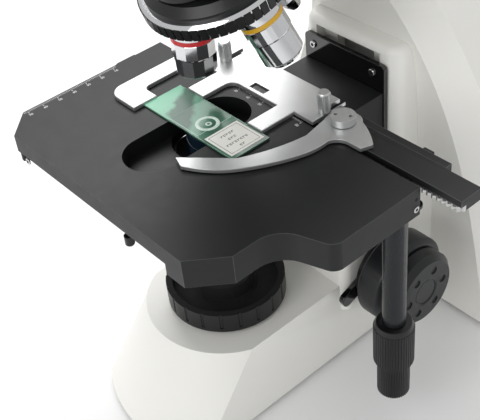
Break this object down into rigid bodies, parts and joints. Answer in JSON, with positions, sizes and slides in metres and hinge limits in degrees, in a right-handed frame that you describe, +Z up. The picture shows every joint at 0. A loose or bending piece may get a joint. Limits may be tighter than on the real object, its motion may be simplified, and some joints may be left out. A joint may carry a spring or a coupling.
{
  "type": "microscope",
  "caption": "Binocular laboratory microscope: focusing stand with built-in light, mechanical stage with slide holder, condenser, turning nosepiece with objectives and an inclined head.",
  "frame": {"origin": "where the optical axis meets the table, under the rubber foot below the field lens", "axes": "+Z up along the optical axis, +Y from the user towards the arm, +X to the user's right"},
  "size_m": [0.2525, 0.3743, 0.4767],
  "materials": {
    "body_paint": "fine satin off-white paint",
    "chrome": "polished chrome",
    "black_anodised": "satin black anodised",
    "black_enamel": "matt black enamel",
    "satin_aluminium": "bead-blasted",
    "steel": "ground and polished",
    "zinc_screw": "turned, bright",
    "brass_gear": "machined",
    "knob_plastic": "smooth satin, dark grey",
    "black_plastic": "moulded, fine texture",
    "gloss_black": "gloss lacquer",
    "green_board": "printed board and moulded block",
    "rubber": "matt",
    "lens": "coated optical glass",
    "slide_glass": "ground edges",
    "paper": "printed paper"
  },
  "bodies": {
    "stand": {"stand_casting": "body_paint", "base_plate": "black_enamel", "rubber_feet": "rubber", "arm_casting": "body_paint", "lift_column": "body_paint", "field_lens_cell": "black_anodised", "field_lens": "lens", "lamp_module": "black_anodised", "collector_lens": "lens", "power_board": "green_board", "rear_cover": "black_plastic", "power_inlet": "black_plastic", "cover_screws": "zinc_screw", "focus_bearings": "brass_gear", "nosepiece_mount": "black_anodised"},
    "field_ring": {"field_ring": "black_plastic"},
    "rocker": {"power_rocker": "gloss_black"},
    "dial": {"brightness_dial": "black_plastic"},
    "coarse": {"coarse_knobs": "knob_plastic", "coarse_shaft": "steel"},
    "fine": {"fine_knobs": "knob_plastic"},
    "tension": {"tension_ring": "black_anodised"},
    "focus_lock": {"focus_lock_lever": "black_anodised"},
    "idler": {"idler_gear": "brass_gear"},
    "lift": {"lift_slider": "gloss_black", "mount_screws": "zinc_screw", "stage_bracket": "black_enamel", "lower_stage_plate": "black_enamel"},
    "condenser": {"condenser_carrier": "black_anodised", "condenser_body": "black_anodised", "condenser_top_lens": "lens"},
    "iris": {"condenser_iris_ring": "black_anodised"},
    "condenser_drive": {"condenser_knob": "black_plastic"},
    "stage_y": {"stage_top_plate": "black_enamel", "rear_rail": "black_enamel", "drive_sleeve": "black_anodised"},
    "y_drive": {"y_drive_shaft": "steel", "y_knob": "black_anodised"},
    "x_drive": {"x_drive_shaft": "steel", "x_knob": "black_anodised"},
    "stage_x": {"x_bar": "black_anodised", "x_rack": "steel", "slide_holder": "satin_aluminium", "holder_screws": "satin_aluminium", "specimen_slide": "slide_glass", "slide_label": "paper", "clip_pivot": "satin_aluminium"},
    "lever": {"clip_lever": "satin_aluminium"},
    "turret": {"nosepiece_turret": "black_anodised", "nosepiece_grip": "chrome", "objective_4x": "chrome", "objective_10x": "chrome", "objective_40x": "chrome", "objective_100x": "chrome"},
    "head": {"head_body": "body_paint"},
    "head_clamp": {"head_clamp_screw": "black_plastic"},
    "tube_right": {"tube_housing_right": "black_enamel", "eyepiece_right": "black_plastic"},
    "tube_left": {"tube_housing_left": "black_enamel"},
    "ocular_left": {"eyepiece_left": "black_plastic"}
  },
  "joints": [
    {"name": "stage_lift", "type": "slide", "parent": "stand", "child": "lift", "axis": [0, 0, 1], "range_m": [-0.008, 0.0175]},
    {"name": "idler_turn", "type": "hinge", "parent": "stand", "child": "idler", "pos_m": [0, 0.104, 0.066], "axis": [1, 0, 0], "range_deg": [-60, 130]},
    {"name": "coarse_turn", "type": "hinge", "parent": "stand", "child": "coarse", "pos_m": [0, 0.08, 0.066], "axis": [1, 0, 0], "range_deg": [-255, 120]},
    {"name": "fine_turn", "type": "hinge", "parent": "stand", "child": "fine", "pos_m": [0, 0.08, 0.066], "axis": [1, 0, 0], "continuous": true},
    {"name": "tension_turn", "type": "hinge", "parent": "stand", "child": "tension", "pos_m": [0, 0.08, 0.066], "axis": [1, 0, 0], "range_deg": [-60, 60]},
    {"name": "focus_lock_turn", "type": "hinge", "parent": "stand", "child": "focus_lock", "pos_m": [0, 0.08, 0.066], "axis": [1, 0, 0], "range_deg": [-30, 45]},
    {"name": "stage_y_travel", "type": "slide", "parent": "lift", "child": "stage_y", "axis": [0, 1, 0], "range_m": [-0.012, 0.036]},
    {"name": "y_knob_turn", "type": "hinge", "parent": "stage_y", "child": "y_drive", "pos_m": [0.109, 0.0336, 0.072], "axis": [0, 0, 1], "range_deg": [-90, 260]},
    {"name": "stage_x_travel", "type": "slide", "parent": "stage_y", "child": "stage_x", "axis": [1, 0, 0], "range_m": [-0.032, 0.044]},
    {"name": "x_knob_turn", "type": "hinge", "parent": "stage_y", "child": "x_drive", "pos_m": [0.109, 0.0336, 0.044], "axis": [0, 0, 1], "range_deg": [-320, 232]},
    {"name": "condenser_travel", "type": "slide", "parent": "lift", "child": "condenser", "axis": [0, 0, 1], "range_m": [-0.018, 0]},
    {"name": "condenser_knob_turn", "type": "hinge", "parent": "lift", "child": "condenser_drive", "pos_m": [0, 0.056, 0.13], "axis": [1, 0, 0], "range_deg": [0, 130]},
    {"name": "iris_turn", "type": "hinge", "parent": "condenser", "child": "iris", "pos_m": [0, 0, 0.1245], "axis": [0, 0, 1], "range_deg": [-35, 35]},
    {"name": "clip_lever_turn", "type": "hinge", "parent": "stage_x", "child": "lever", "pos_m": [0.0585, 0.048, 0.191], "axis": [0, 0, 1], "range_deg": [0, 30], "stiffness_Nm_per_rad": 0.05, "springref_deg": -17.19},
    {"name": "nosepiece_turn", "type": "hinge", "parent": "stand", "child": "turret", "pos_m": [0, 0, 0.33], "axis": [0, 0.309, -0.9511], "continuous": true},
    {"name": "head_turn", "type": "hinge", "parent": "stand", "child": "head", "pos_m": [0, 0, 0.35], "axis": [0, 0, 1], "continuous": true},
    {"name": "head_clamp_turn", "type": "hinge", "parent": "stand", "child": "head_clamp", "pos_m": [0.06, 0, 0.346], "axis": [1, 0, 0], "range_deg": [0, 270]},
    {"name": "tube_right_turn", "type": "hinge", "parent": "head", "child": "tube_right", "pos_m": [0, -0.0365, 0.3919], "axis": [0, -0.866, 0.5], "range_deg": [-32.9, 15.3]},
    {"name": "tube_left_turn", "type": "hinge", "parent": "head", "child": "tube_left", "pos_m": [0, -0.0365, 0.3919], "axis": [0, -0.866, 0.5], "range_deg": [-15.3, 32.9]},
    {"name": "dioptre_turn", "type": "hinge", "parent": "tube_left", "child": "ocular_left", "pos_m": [-0.03149, -0.08694, 0.44454], "axis": [0, -0.866, 0.5], "range_deg": [-90, 90]},
    {"name": "field_ring_turn", "type": "hinge", "parent": "stand", "child": "field_ring", "pos_m": [0, 0, 0.07], "axis": [0, 0, 1], "range_deg": [-60, 60]},
    {"name": "brightness_turn", "type": "hinge", "parent": "stand", "child": "dial", "pos_m": [-0.052, 0.012, 0.034], "axis": [1, 0, 0], "range_deg": [0, 270]},
    {"name": "power_rocker_turn", "type": "hinge", "parent": "stand", "child": "rocker", "pos_m": [0.018, 0.2435, 0.033], "axis": [1, 0, 0], "range_deg": [-5, 5]}
  ],
  "couplings": [
    {"joint": "idler_turn", "follows": "stage_lift", "rad_per_m": 125},
    {"joint": "coarse_turn", "follows": "stage_lift", "rad_per_m": -250},
    {"joint": "y_knob_turn", "follows": "stage_y_travel", "rad_per_m": 125},
    {"joint": "x_knob_turn", "follows": "stage_x_travel", "rad_per_m": -125},
    {"joint": "condenser_knob_turn", "follows": "condenser_travel", "rad_per_m": -125},
    {"joint": "tube_left_turn", "follows": "tube_right_turn", "ratio": -1}
  ]
}
